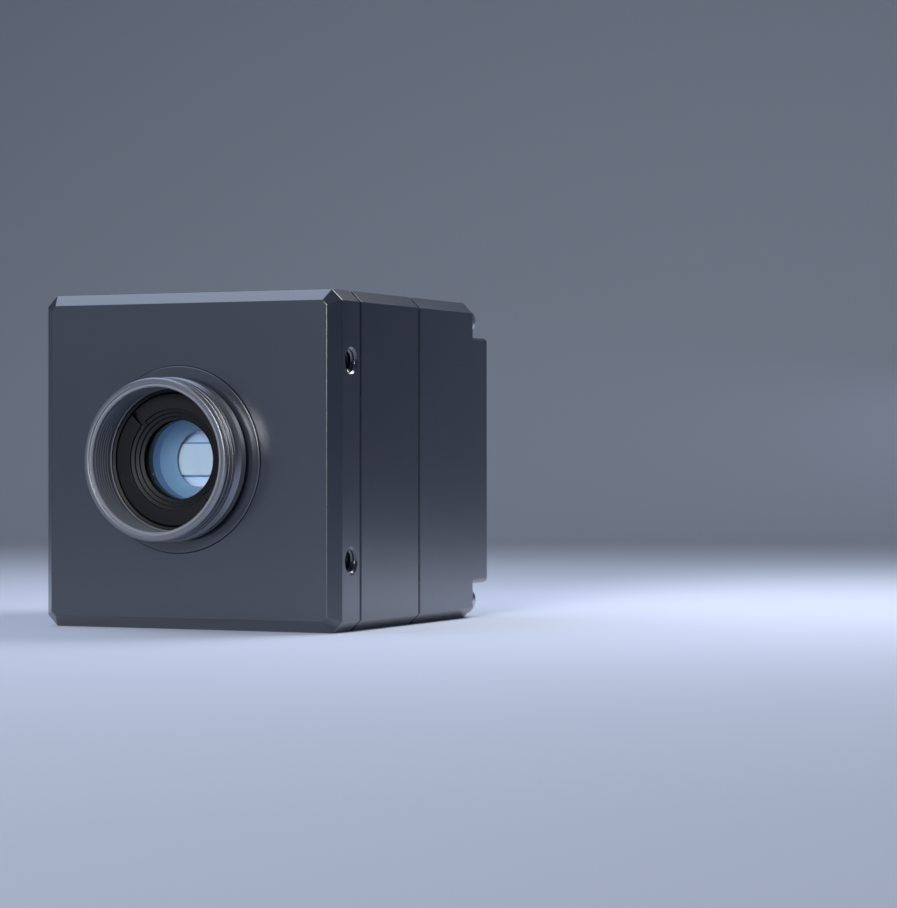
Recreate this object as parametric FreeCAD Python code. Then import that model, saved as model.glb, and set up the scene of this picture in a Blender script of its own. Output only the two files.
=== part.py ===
# Shortwave infrared camera: square body of three stacked castings with a C-mount lens opening in front.
# Every piece is drawn with y = 0 on the front face, growing to the rear, and x = z = 0 on the body axis.
# The whole camera is then stood on its flat base, centred on the origin, looking along -Y.

import FreeCAD, Part
import math
import os

Vector = FreeCAD.Vector

# Body
body_width = 60.0
body_height = 60.0
front_plate_depth = 9.0
middle_depth = 23.7
rear_depth = 30.8
wall = 2.6
rear_wall = 3.0
edge_chamfer = 2.0
seam_break = 0.2
gasket_thickness = 0.4
gasket_inset = 0.9
rear_edge_round = 0.8
notch_size = 6.5
notch_depth = 7.3
notch_edge_round = 0.9
notch_wall = 2.5

# Corner screws
corner_screw_inset = 3.3
corner_screw_r = 1.5
corner_screw_engagement = 5.0
corner_column_wall = 2.5
socket_head_r = 2.75
socket_head_height = 3.0
hex_key_width = 2.5
hex_key_depth = 1.6
head_edge_break = 0.3
hole_clearance = 0.2
thread_clearance = 0.04

# Threaded side holes
side_hole_r = 1.65
side_hole_spacing = 35.0
side_hole_from_seam = 3.5
side_hole_depth = 6.0
side_hole_countersink = 0.75

# Lens mount
lens_axis_x = -1.7
lens_axis_z = 0.25
tube_protrusion = 8.4
lens_thread_r = 12.3
lens_thread_length = 5.2
lens_thread_relief = 0.3
lens_thread_chamfer = 0.45
lens_bore_depth = 7.0
tube_wall = 2.1
rim_chamfer = 0.3
rim_face_width = 0.75
rim_step = 0.25
rim_groove_starts = (0.8, 2.15)
rim_groove_width = 0.45
rim_groove_depth = 0.3
waist_start = 3.5
waist_slope = 0.7
waist_floor = 0.3
waist_depth = 0.55
band_rise = 0.8
band_proud = 0.2
neck_width = 1.25
neck_depth = 1.0
flange_lip = 2.2
flange_proud = 0.25
flange_edge = 0.12
flange_seat_depth = 2.6
seat_width = 3.0
spigot_wall = 2.6
fit_clearance = 0.05
mount_seal_width = 1.4
mount_seal_height = 1.0
lock_ring_width = 3.4
lock_ring_height = 2.0
lock_ring_slot = 2.0
lock_ring_slot_depth = 1.0

# Retaining ring, window and baffle
ring_thickness = 1.8
ring_seat_step = 0.3
ring_clearance = 0.1
ring_edge_break = 0.25
aperture_r = 7.05
ring_step_count = 3
ring_step_width = 0.66
ring_lip = 0.3
spanner_slot_width = 0.9
spanner_slot_depth = 0.9
spanner_slot_margin = 0.35
spanner_slot_angle = 135.0
window_r = 10.5
window_thickness = 1.5
window_clearance = 0.1
window_shoulder = 1.5
baffle_cylinder = 2.4
baffle_exit_r = 5.3
baffle_gap = 0.1

# Sensor: the detector lies at the lens standard's distance plus what the two windows lengthen the path by
flange_focal_distance = 17.526
glass_index = 1.52
package_width = 16.0
package_height = 14.0
package_depth = 3.2
package_cavity_width = 13.0
package_cavity_height = 9.6
package_window_rim = 0.7
package_window_thickness = 0.6
detector_gap = 0.15
detector_width = 11.8
detector_height = 5.62
detector_thickness = 0.7
sensor_socket_height = 2.0
sensor_socket_wall = 1.6

# Sensor cooler and heat path
cold_block_height = 2.0
cooler_margin = 0.5
cooler_plate = 0.7
cooler_pellet_height = 1.8
cooler_pellet_size = 0.9
cooler_pellet_pitch = 1.8
heat_spreader_thickness = 2.5
heat_spreader_gap = 0.1
thermal_pad_thickness = 1.0
thermal_pad_size = 18.0

# Boards
board_thickness = 1.6
board_clearance = 2.4
board_corner = 7.0
board_hole_clearance = 0.3
spacer_inset = 5.5
spacer_r = 2.5
spacer_bore_r = 1.4
stack_screw_r = 1.25
stack_screw_engagement = 4.0
stack_head_r = 2.25
stack_head_height = 1.7
stack_boss_r = 3.0
processor_size = 17.0
processor_height = 2.0
memory_width = 9.0
memory_length = 12.0
memory_height = 1.2
memory_gap = 2.4
inductor_size = 8.0
inductor_height = 4.5
inductor_count = 3
inductor_round = 1.2
inductor_pitch = 11.0
inductor_z = 9.0
capacitor_r = 3.15
capacitor_height = 5.8
capacitor_count = 3
capacitor_pitch = 8.0
capacitor_z = -10.0
transformer_width = 15.0
transformer_length = 12.0
transformer_height = 5.0
transformer_z = 8.0
link_width = 4.6
link_length = 20.0
link_inset = 4.8
link_tongue = 1.6
link_tongue_length = 1.5
link_play = 0.1
link_slot_margin = 0.6

# Network socket, round with a cross-shaped shield
network_x = -15.8
network_z = -11.9
network_collar_r = 7.45
network_collar_height = 1.0
network_collar_round = 0.45
network_shell_r = 6.8
network_shell_length = 12.3
network_bore_r = 5.95
network_mouth_chamfer = 0.5
network_insert_r = 4.1
network_insert_recess = 2.4
network_insert_base = 1.6
network_bore_depth = 9.0
network_tail_r = 5.2
network_gap = 1.0
network_corner_round = 0.3
network_shield_thickness = 0.4
network_shield_proud = 0.25
network_tab_width = 1.7
network_tab_height = 0.65
network_tab_margin = 0.3
network_contact_near = 1.47
network_contact_far = 3.0
network_contact_r = 0.55

# Power and trigger socket, round with eight contacts
io_x = 7.4
io_z = -16.75
io_collar_r = 5.4
io_collar_height = 0.8
io_collar_round = 0.4
io_shell_r = 4.8
io_shell_length = 10.0
io_bore_r = 3.65
io_mouth_chamfer = 0.7
io_insert_r = 2.87
io_insert_recess = 1.0
io_insert_base = 1.4
io_bore_depth = 7.0
io_tail_r = 3.1
io_contact_circle_r = 1.94
io_contact_count = 7
io_contact_r = 0.45
io_key_r = 0.45

# What both sockets share
socket_board_gap = 2.0
socket_seal_width = 0.5
socket_seal_height = 1.0
socket_nut_wall = 1.4
socket_nut_height = 2.4
socket_nut_slot = 2.0
socket_nut_slot_depth = 0.8
contact_recess = 1.2
contact_bore_depth = 4.0
contact_bore_share = 0.62
contact_tail_r = 0.3
contact_tail_end = 0.8

# Status light
light_x = 14.7
light_z = -2.5
light_pipe_r = 1.78
light_gap = 0.32
light_countersink = 0.7
light_recess = 0.1
light_dome = 0.25
light_flange_r = 3.2
light_flange_height = 1.2
status_led_size = 2.0
status_led_height = 1.0
status_led_gap = 0.2

# Bare shallow recess on the rear face
recess_x = -7.4
recess_z = 9.85
recess_width = 23.0
recess_height = 14.5
recess_round = 1.0
recess_depth = 0.15

# Modelling aids: how closely levels must agree, how far a slot's cut runs past the ring it crosses
tolerance = 1e-4
cut_over = 1.0

# Levels along the camera axis
plate_back = front_plate_depth
middle_front = plate_back + gasket_thickness
middle_back = middle_front + middle_depth
rear_front = middle_back + gasket_thickness
rear_face = rear_front + rear_depth
rear_inner = rear_face - rear_wall
notch_floor = rear_face - notch_depth
rim = -tube_protrusion
ring_front = rim + lens_bore_depth
ring_back = ring_front + ring_thickness
window_back = ring_back + window_thickness
shoulder_back = window_back + window_shoulder
glass_lengthening = (window_thickness + package_window_thickness) * (1 - 1 / glass_index)
detector_front = rim + flange_focal_distance + glass_lengthening
package_window_back = detector_front - detector_gap
package_front = package_window_back - package_window_thickness
package_back = package_front + package_depth
sensor_board_front = package_back + sensor_socket_height
sensor_board_back = sensor_board_front + board_thickness
cooler_front = package_back + cold_block_height
pellet_front = cooler_front + cooler_plate
pellet_back = pellet_front + cooler_pellet_height
spreader_front = pellet_back + cooler_plate
spreader_back = spreader_front + heat_spreader_thickness
processor_front = spreader_back + thermal_pad_thickness
processor_board_front = processor_front + processor_height
processor_board_back = processor_board_front + board_thickness
interface_board_back = rear_face - network_shell_length - socket_board_gap
interface_board_front = interface_board_back - board_thickness
power_board_front = (processor_board_back + interface_board_front - board_thickness) / 2
power_board_back = power_board_front + board_thickness

# Radii and places that follow
half_width = body_width / 2
half_height = body_height / 2
cavity_width = body_width - 2 * wall
cavity_height = body_height - 2 * wall
corner_hole_r = corner_screw_r + hole_clearance
corner_column_r = corner_hole_r + corner_column_wall
tube_r = lens_thread_r + tube_wall
flange_r = tube_r + flange_lip
spigot_r = flange_r - seat_width
pocket_r = spigot_r - spigot_wall
ring_seat_r = lens_thread_r - ring_seat_step
lock_ring_r = spigot_r + lock_ring_width
window_pocket_r = window_r + window_clearance
board_width = cavity_width - 2 * board_clearance
board_height = cavity_height - 2 * board_clearance
spacer_x = board_width / 2 - spacer_inset
spacer_z = board_height / 2 - spacer_inset
link_x = board_width / 2 - link_inset
memory_x = link_x - link_width / 2 - memory_gap - memory_width / 2
cooler_width = package_width - 2 * sensor_socket_wall - 2 * cooler_margin
cooler_height = package_height - 2 * sensor_socket_wall - 2 * cooler_margin


def four_corners(x, z):
    return [(sx * x, sz * z) for sx in (-1, 1) for sz in (-1, 1)]


corner_places = four_corners(half_width - corner_screw_inset, half_height - corner_screw_inset)
spacer_places = four_corners(spacer_x, spacer_z)


def cylinder(r, front, back, x=0.0, z=0.0):
    return Part.makeCylinder(r, back - front, Vector(x, front, z), Vector(0, 1, 0))


def tube(outer_r, inner_r, front, back, x=0.0, z=0.0):
    return cylinder(outer_r, front, back, x, z).cut(cylinder(inner_r, front, back, x, z))


def block(width, height, front, back, x=0.0, z=0.0):
    corner = Vector(x - width / 2, front, z - height / 2)
    return Part.makeBox(width, back - front, height, corner)


def along_axis(shape):
    """Edges of the shape that run along the camera axis."""
    found = []
    for edge in shape.Edges:
        if isinstance(edge.Curve, Part.Line) and abs(abs(edge.Curve.Direction.y) - 1) < tolerance:
            found.append(edge)
    return found


def rounded_block(width, height, radius, front, back, x=0.0, z=0.0):
    shape = block(width, height, front, back, x, z)
    return shape.makeFillet(radius, along_axis(shape))


def chamfered_block(width, height, chamfer, front, back):
    shape = block(width, height, front, back)
    return shape.makeChamfer(chamfer, along_axis(shape))


def turned(profile, x=0.0, z=0.0):
    """Solid of revolution about the axis through (x, z), from (radius, y) points."""
    points = [Vector(x + r, y, z) for r, y in profile]
    face = Part.Face(Part.makePolygon(points + points[:1]))
    return face.revolve(Vector(x, 0, z), Vector(0, 1, 0), 360)


def edges_at(shape, level):
    """Edges of the shape that lie in the plane y = level."""
    return [edge for edge in shape.Edges
            if abs(edge.BoundBox.YMin - level) < tolerance and abs(edge.BoundBox.YMax - level) < tolerance]


def outer_edges(shape, level):
    """Edges of the outer outline of the flat face at y = level."""
    faces = [face for face in shape.Faces
             if abs(face.BoundBox.YMin - level) < tolerance and abs(face.BoundBox.YMax - level) < tolerance]
    return max(faces, key=lambda face: face.Area).OuterWire.Edges


def joined(shapes):
    return shapes[0].multiFuse(shapes[1:]).removeSplitter()


def drilled(shape, tools):
    return shape.cut(Part.makeCompound(tools))


def group(shapes):
    return Part.makeCompound(shapes)


def cavity(front, back, shrink=0.0):
    """Inside of the housings: a square with a column for the long screw left standing in each corner."""
    space = block(cavity_width - 2 * shrink, cavity_height - 2 * shrink, front, back)
    columns = [cylinder(corner_column_r + shrink, front, back, x, z) for x, z in corner_places]
    return drilled(space, columns)


def corner_holes(front, back, r):
    return [cylinder(r, front, back, x, z) for x, z in corner_places]


def side_holes():
    """Two threaded holes in each of the four sides of the front plate, with countersunk mouths."""
    level = plate_back - side_hole_from_seam
    mouth_r = side_hole_r + side_hole_countersink
    holes = []
    for outward, reach in ((Vector(1, 0, 0), half_width), (Vector(0, 0, 1), half_height)):
        across = Vector(outward.z, 0, outward.x)
        for side in (-1, 1):
            for offset in (-side_hole_spacing / 2, side_hole_spacing / 2):
                mouth = outward * (side * reach) + across * offset + Vector(0, level, 0)
                inward = outward * -side
                holes.append(Part.makeCylinder(side_hole_r, side_hole_depth, mouth, inward))
                holes.append(Part.makeCone(mouth_r, side_hole_r, side_hole_countersink, mouth, inward))
    return holes


def front_plate():
    plate = chamfered_block(body_width, body_height, edge_chamfer, 0, plate_back)
    plate = plate.makeChamfer(edge_chamfer, outer_edges(plate, 0))
    plate = plate.makeChamfer(seam_break, outer_edges(plate, plate_back))
    bosses = [cylinder(stack_boss_r, plate_back, sensor_board_front, x, z) for x, z in spacer_places]
    plate = joined([plate] + bosses)
    axis = (lens_axis_x, lens_axis_z)
    seal_middle_r = (spigot_r + flange_r) / 2
    seal_groove = tube(seal_middle_r + mount_seal_width / 2 + fit_clearance,
                       seal_middle_r - mount_seal_width / 2 - fit_clearance,
                       flange_seat_depth, flange_seat_depth + mount_seal_height, *axis)
    cuts = [
        cylinder(flange_r + fit_clearance, 0, flange_seat_depth, *axis),
        cylinder(spigot_r + fit_clearance, 0, plate_back, *axis),
        cylinder(lock_ring_r + fit_clearance, plate_back - lock_ring_height, plate_back, *axis),
        seal_groove,
    ]
    screw_end = plate_back - corner_screw_engagement
    cuts += corner_holes(screw_end, plate_back, corner_screw_r + thread_clearance)
    stack_end = plate_back - stack_screw_engagement
    cuts += [cylinder(stack_screw_r + thread_clearance, stack_end, sensor_board_front, x, z)
             for x, z in spacer_places]
    return drilled(plate, cuts + side_holes())


def lens_mount():
    rim_inner_r = tube_r - rim_chamfer - rim_face_width
    outside = [(rim_inner_r, rim), (tube_r - rim_chamfer, rim), (tube_r, rim + rim_chamfer)]
    groove_r = tube_r - rim_groove_depth
    for start in rim_groove_starts:
        near, far = rim + start, rim + start + rim_groove_width
        outside += [(tube_r, near), (groove_r, near), (groove_r, far), (tube_r, far)]
    waist_r = tube_r - waist_depth
    waist_front = rim + waist_start + waist_slope
    waist_back = waist_front + waist_floor
    band_r = tube_r + band_proud
    neck_r = tube_r - neck_depth
    neck_front = -flange_proud - neck_width
    outside += [(tube_r, rim + waist_start), (waist_r, waist_front), (waist_r, waist_back),
                (band_r, waist_back + band_rise), (band_r, neck_front), (neck_r, neck_front),
                (neck_r, -flange_proud), (flange_r - flange_edge, -flange_proud),
                (flange_r, flange_edge - flange_proud), (flange_r, flange_seat_depth),
                (spigot_r, flange_seat_depth), (spigot_r, plate_back)]
    relief_r = lens_thread_r + lens_thread_relief
    lip = rim + rim_step
    thread_start = lip + lens_thread_chamfer
    thread_end = thread_start + lens_thread_length
    inside = [(pocket_r, plate_back), (pocket_r, shoulder_back), (aperture_r, shoulder_back),
              (aperture_r, window_back), (window_pocket_r, window_back), (window_pocket_r, ring_back),
              (ring_seat_r, ring_back), (ring_seat_r, ring_front), (relief_r, ring_front),
              (relief_r, thread_end), (lens_thread_r, thread_end), (lens_thread_r, thread_start),
              (lens_thread_r + lens_thread_chamfer, lip), (rim_inner_r, lip)]
    return turned(outside + inside, lens_axis_x, lens_axis_z)


def mount_seal():
    middle_r = (spigot_r + flange_r) / 2
    return tube(middle_r + mount_seal_width / 2, middle_r - mount_seal_width / 2,
                flange_seat_depth, flange_seat_depth + mount_seal_height, lens_axis_x, lens_axis_z)


def mount_lock_ring():
    front = plate_back - lock_ring_height
    ring = tube(lock_ring_r, spigot_r + thread_clearance, front, plate_back, lens_axis_x, lens_axis_z)
    slot_front = plate_back - lock_ring_slot_depth
    reach = 2 * (lock_ring_r + cut_over)
    slots = [block(reach, lock_ring_slot, slot_front, plate_back, lens_axis_x, lens_axis_z),
             block(lock_ring_slot, reach, slot_front, plate_back, lens_axis_x, lens_axis_z)]
    return drilled(ring, slots)


def retaining_ring():
    ring_r = ring_seat_r - ring_clearance
    step_depth = (ring_thickness - ring_lip) / ring_step_count
    profile = [(ring_r - ring_edge_break, ring_front), (ring_r, ring_front + ring_edge_break),
               (ring_r, ring_back), (aperture_r, ring_back)]
    for step in range(ring_step_count):
        level = ring_back - ring_lip - step * step_depth
        radius = aperture_r + step * ring_step_width
        profile += [(radius, level), (radius + ring_step_width, level)]
    mouth_r = aperture_r + ring_step_count * ring_step_width
    profile.append((mouth_r, ring_front))
    ring = turned(profile, lens_axis_x, lens_axis_z)
    slot_start = mouth_r - ring_step_width
    slot_end = ring_r - spanner_slot_margin
    slots = []
    for angle in (spanner_slot_angle, spanner_slot_angle + 180):
        slot = Part.makeBox(slot_end - slot_start, spanner_slot_depth, spanner_slot_width,
                            Vector(slot_start, ring_front, -spanner_slot_width / 2))
        slot.rotate(Vector(0, 0, 0), Vector(0, 1, 0), -angle)
        slot.translate(Vector(lens_axis_x, 0, lens_axis_z))
        slots.append(slot)
    return drilled(ring, slots)


def filter_window():
    return cylinder(window_r, ring_back, window_back, lens_axis_x, lens_axis_z)


def light_baffle():
    outer_r = pocket_r - fit_clearance
    baffle_back = package_front - baffle_gap
    profile = [(outer_r, shoulder_back), (outer_r, baffle_back), (baffle_exit_r, baffle_back),
               (aperture_r, shoulder_back + baffle_cylinder), (aperture_r, shoulder_back)]
    return turned(profile, lens_axis_x, lens_axis_z)


def on_lens_axis(width, height, front, back):
    return block(width, height, front, back, lens_axis_x, lens_axis_z)


def package_window_size():
    return (package_cavity_width + 2 * package_window_rim, package_cavity_height + 2 * package_window_rim)


def sensor_package():
    body = on_lens_axis(package_width, package_height, package_front, package_back)
    cavity_floor = detector_front + detector_thickness
    cuts = [on_lens_axis(*package_window_size(), package_front, package_window_back),
            on_lens_axis(package_cavity_width, package_cavity_height, package_front, cavity_floor)]
    return drilled(body, cuts)


def sensor_window():
    return on_lens_axis(*package_window_size(), package_front, package_window_back)


def sensor_die():
    return on_lens_axis(detector_width, detector_height, detector_front, detector_front + detector_thickness)


def cooler_opening(front, back):
    return on_lens_axis(cooler_width + 2 * cooler_margin, cooler_height + 2 * cooler_margin, front, back)


def sensor_socket():
    body = on_lens_axis(package_width, package_height, package_back, sensor_board_front)
    return body.cut(cooler_opening(package_back, sensor_board_front))


def cold_block():
    return on_lens_axis(cooler_width, cooler_height, package_back, cooler_front)


def cooler_pellets():
    """Semiconductor legs between the cooler's two ceramic plates."""
    columns = int((cooler_width - cooler_pellet_size) / cooler_pellet_pitch) + 1
    rows = int((cooler_height - cooler_pellet_size) / cooler_pellet_pitch) + 1
    pellets = []
    for x in row_places(columns, cooler_pellet_pitch):
        for z in row_places(rows, cooler_pellet_pitch):
            pellets.append(block(cooler_pellet_size, cooler_pellet_size, pellet_front, pellet_back,
                                 lens_axis_x + x, lens_axis_z + z))
    return group(pellets)


def heat_spreader():
    plate = cavity(spreader_front, spreader_back, heat_spreader_gap)
    cuts = [cylinder(spacer_r + board_hole_clearance, spreader_front, spreader_back, x, z)
            for x, z in spacer_places]
    cuts.append(block(link_width + 2 * link_slot_margin, link_length + 2 * link_slot_margin,
                      spreader_front, spreader_back, link_x))
    return drilled(plate, cuts)


def circuit_board(front):
    """Square board with cut corners and the four holes of the board stack."""
    back = front + board_thickness
    board = chamfered_block(board_width, board_height, board_corner, front, back)
    holes = [cylinder(stack_screw_r + board_hole_clearance, front, back, x, z) for x, z in spacer_places]
    return drilled(board, holes)


def sensor_board():
    return circuit_board(sensor_board_front).cut(cooler_opening(sensor_board_front, sensor_board_back))


def interface_board():
    hole_r = contact_tail_r + board_hole_clearance
    holes = [cylinder(hole_r, interface_board_front, interface_board_back, x, z)
             for x, z in network_contact_places() + io_contact_places()]
    return drilled(circuit_board(interface_board_front), holes)


def spacers(front, back):
    return group([tube(spacer_r, spacer_bore_r, front, back, x, z) for x, z in spacer_places])


def socket_screw(x, z, head_front, tip, shank_r, head_r, head_height):
    """Cap screw that points to the front: head with a hexagon socket, plain shank."""
    head = cylinder(head_r, head_front, head_front + head_height, x, z)
    head = head.makeChamfer(head_edge_break, edges_at(head, head_front + head_height))
    key_r = hex_key_width / math.sqrt(3)
    corners = [Vector(x + key_r * math.cos(math.radians(60 * i)), head_front + head_height,
                      z + key_r * math.sin(math.radians(60 * i))) for i in range(6)]
    key = Part.Face(Part.makePolygon(corners + corners[:1])).extrude(Vector(0, -hex_key_depth, 0))
    shank = cylinder(shank_r, tip, head_front, x, z)
    return joined([head.cut(key), shank])


def corner_screws():
    tip = plate_back - corner_screw_engagement
    return group([socket_screw(x, z, notch_floor, tip, corner_screw_r, socket_head_r, socket_head_height)
                  for x, z in corner_places])


def stack_screws():
    tip = plate_back - stack_screw_engagement
    screws = []
    for x, z in spacer_places:
        head = cylinder(stack_head_r, interface_board_back, interface_board_back + stack_head_height, x, z)
        shank = cylinder(stack_screw_r, tip, interface_board_back, x, z)
        screws.append(joined([head, shank]))
    return group(screws)


def board_link(front, back):
    """Plug and socket that join two boards: a tongue on the plug enters a slot in the socket."""
    split = (front + back) / 2
    tongue_end = split + link_tongue_length
    tongue_length = link_length - 2 * link_tongue
    plug = joined([block(link_width, link_length, front, split, link_x),
                   block(link_tongue, tongue_length, split, tongue_end, link_x)])
    slot = block(link_tongue + 2 * link_play, tongue_length + 2 * link_play,
                 split, tongue_end + link_play, link_x)
    socket = block(link_width, link_length, split, back, link_x).cut(slot)
    return group([plug, socket])


def memory_chips():
    back = processor_board_back + memory_height
    return group([block(memory_width, memory_length, processor_board_back, back, x)
                  for x in (-memory_x, memory_x)])


def row_places(count, pitch):
    """Places of an evenly spaced row about the middle."""
    return [(i - (count - 1) / 2) * pitch for i in range(count)]


def power_inductors():
    back = power_board_back + inductor_height
    return group([rounded_block(inductor_size, inductor_size, inductor_round, power_board_back, back,
                                x, inductor_z) for x in row_places(inductor_count, inductor_pitch)])


def power_capacitors():
    back = power_board_back + capacitor_height
    return group([cylinder(capacitor_r, power_board_back, back, x, capacitor_z)
                  for x in row_places(capacitor_count, capacitor_pitch)])


def network_transformer():
    front = interface_board_front - transformer_height
    return block(transformer_width, transformer_length, front, interface_board_front, 0, transformer_z)


def middle_housing():
    body = chamfered_block(body_width, body_height, edge_chamfer, middle_front, middle_back)
    body = body.makeChamfer(seam_break, outer_edges(body, middle_front) + outer_edges(body, middle_back))
    holes = corner_holes(middle_front, middle_back, corner_hole_r)
    return drilled(body, [cavity(middle_front, middle_back)] + holes)


def gasket(front):
    """Flat seal between two castings, set back from their outer faces."""
    back = front + gasket_thickness
    sheet = chamfered_block(body_width - 2 * gasket_inset, body_height - 2 * gasket_inset,
                            edge_chamfer, front, back)
    return drilled(sheet, [cavity(front, back)] + corner_holes(front, back, corner_hole_r))


def rear_step():
    """Raised back between the notched corners, whose inner corners run round the screw heads."""
    step = block(body_width, body_height, notch_floor, rear_face)
    notch_r = notch_size - corner_screw_inset
    cuts = []
    for x, z in corner_places:
        side_x, side_z = math.copysign(1, x), math.copysign(1, z)
        cuts.append(cylinder(notch_r, notch_floor, rear_face, x, z))
        cuts.append(block(corner_screw_inset, notch_size, notch_floor, rear_face,
                          x + side_x * corner_screw_inset / 2,
                          side_z * (half_height - notch_size / 2)))
        cuts.append(block(notch_size, corner_screw_inset, notch_floor, rear_face,
                          side_x * (half_width - notch_size / 2),
                          z + side_z * corner_screw_inset / 2))
    step = drilled(step, cuts).removeSplitter()
    outer = []
    for edge in along_axis(step):
        place = edge.CenterOfMass
        if abs(abs(place.x) - half_width) < tolerance or abs(abs(place.z) - half_height) < tolerance:
            outer.append(edge)
    step = step.makeFillet(notch_edge_round, outer)
    return step.makeFillet(rear_edge_round, outer_edges(step, rear_face))


def rear_cavity():
    """Room inside the rear housing, narrower beside the notched corners."""
    waist = notch_floor - rear_wall
    room = cavity(rear_front, waist)
    narrow_width = body_width - 2 * (notch_size + notch_wall)
    narrow_height = body_height - 2 * (notch_size + notch_wall)
    back_room = joined([block(cavity_width, narrow_height, waist, rear_inner),
                        block(narrow_width, cavity_height, waist, rear_inner)])
    return [room, back_room]


def socket_hole(x, z, shell_r):
    """Hole of a round socket with a seat for its seal under the collar."""
    return [cylinder(shell_r + fit_clearance, rear_inner, rear_face, x, z),
            cylinder(shell_r + socket_seal_width, rear_face - socket_seal_height, rear_face, x, z)]


def rear_housing():
    body = chamfered_block(body_width, body_height, edge_chamfer, rear_front, notch_floor)
    body = body.makeChamfer(seam_break, outer_edges(body, rear_front))
    body = joined([body, rear_step()])
    hole_r = light_pipe_r + light_gap
    cuts = rear_cavity() + corner_holes(rear_front, notch_floor, corner_hole_r)
    cuts += socket_hole(network_x, network_z, network_shell_r)
    cuts += socket_hole(io_x, io_z, io_shell_r)
    cuts.append(cylinder(hole_r, rear_inner, rear_face, light_x, light_z))
    cuts.append(Part.makeCone(hole_r, hole_r + light_countersink, light_countersink,
                              Vector(light_x, rear_face - light_countersink, light_z), Vector(0, 1, 0)))
    cuts.append(rounded_block(recess_width, recess_height, recess_round, rear_face - recess_depth, rear_face,
                              recess_x, recess_z))
    return drilled(body, cuts)


def socket_shell(x, z, collar_r, collar_height, collar_round, shell_r, shell_length, bore_r, bore_depth,
                 mouth_chamfer, tail_r):
    """Threaded metal sleeve: rounded collar on the rear face, barrel through the wall, stepped bore."""
    top = rear_face + collar_height
    barrel_end = rear_face - shell_length
    floor = top - bore_depth
    profile = [(tail_r, barrel_end), (shell_r, barrel_end), (shell_r, rear_face), (collar_r, rear_face),
               (collar_r, top), (bore_r + mouth_chamfer, top), (bore_r, top - mouth_chamfer),
               (bore_r, floor), (tail_r, floor)]
    shell = turned(profile, x, z)
    rim_edges = [edge for edge in edges_at(shell, top) if abs(edge.Curve.Radius - collar_r) < tolerance]
    return shell.makeFillet(collar_round, rim_edges)


def socket_nut(x, z, shell_r):
    """Slotted ring nut that pulls a socket against the inside of the rear wall."""
    front = rear_inner - socket_nut_height
    nut_r = shell_r + socket_nut_wall
    ring = tube(nut_r, shell_r + thread_clearance, front, rear_inner, x, z)
    reach = 2 * (nut_r + cut_over)
    slots = [block(reach, socket_nut_slot, front, front + socket_nut_slot_depth, x, z),
             block(socket_nut_slot, reach, front, front + socket_nut_slot_depth, x, z)]
    return drilled(ring, slots)


def socket_seal(x, z, shell_r):
    return tube(shell_r + socket_seal_width, shell_r, rear_face - socket_seal_height, rear_face, x, z)


def contact(x, z, r, front_end, rear_end):
    """Socket contact: sleeve open to the rear, thin tail through the interface board."""
    sleeve = cylinder(r, rear_end, front_end, x, z)
    bore = cylinder(r * contact_bore_share, front_end - contact_bore_depth, front_end, x, z)
    tail = cylinder(contact_tail_r, interface_board_front - contact_tail_end, rear_end, x, z)
    return joined([sleeve.cut(bore), tail])


def network_contact_places():
    near, far = network_contact_near, network_contact_far
    pairs = four_corners(near, far) + four_corners(far, near)
    return [(network_x + x, network_z + z) for x, z in pairs]


network_top = rear_face + network_collar_height
network_insert_top = network_top - network_insert_recess
network_floor = network_top - network_bore_depth
network_base_top = network_floor + network_insert_base
network_end = rear_face - network_shell_length


def network_tab(margin, front, back):
    """Key beside the middle of the shield, on the upper side towards +X."""
    width = network_tab_width + margin
    height = network_tab_height + 2 * margin
    return block(width, height, front, back, network_x + width / 2,
                 network_z + network_gap / 2 + network_tab_height / 2)


def network_socket_insert():
    """Plastic core: four quadrants that stand on a round base, with the shield's cross between them."""
    pillar = cylinder(network_insert_r, network_base_top, network_insert_top, network_x, network_z)
    reach = 2 * network_insert_r + network_gap
    cross = [block(reach, network_gap, network_base_top, network_insert_top, network_x, network_z),
             block(network_gap, reach, network_base_top, network_insert_top, network_x, network_z)]
    solids = drilled(pillar, cross).Solids
    quadrants = group([solid.makeFillet(network_corner_round, along_axis(solid)) for solid in solids])
    quadrants = quadrants.cut(network_tab(network_tab_margin, network_base_top, network_insert_top))
    base = cylinder(network_bore_r, network_floor, network_base_top, network_x, network_z)
    tail = cylinder(network_tail_r, network_end, network_floor, network_x, network_z)
    core = joined([base, tail] + quadrants.Solids)
    holes = [cylinder(network_contact_r, network_end, network_insert_top, x, z)
             for x, z in network_contact_places()]
    return drilled(core, holes)


def network_socket_shield():
    top = network_insert_top + network_shield_proud
    reach = 2 * network_insert_r
    plates = [block(reach, network_shield_thickness, network_base_top, top, network_x, network_z),
              block(network_shield_thickness, reach, network_base_top, top, network_x, network_z)]
    key = block(network_tab_width, network_gap / 2 + network_tab_height, network_base_top, top,
                network_x + network_tab_width / 2, network_z + network_gap / 4 + network_tab_height / 2)
    return joined(plates + [key])


def network_socket_contacts():
    return group([contact(x, z, network_contact_r, network_insert_top - contact_recess, network_end)
                  for x, z in network_contact_places()])


io_top = rear_face + io_collar_height
io_insert_top = io_top - io_insert_recess
io_floor = io_top - io_bore_depth
io_base_top = io_floor + io_insert_base
io_end = rear_face - io_shell_length


def io_contact_places():
    places = [(io_x, io_z)]
    for i in range(io_contact_count):
        angle = 2 * math.pi * i / io_contact_count
        x = io_x - io_contact_circle_r * math.cos(angle)
        z = io_z + io_contact_circle_r * math.sin(angle)
        places.append((x, z))
    return places


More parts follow.
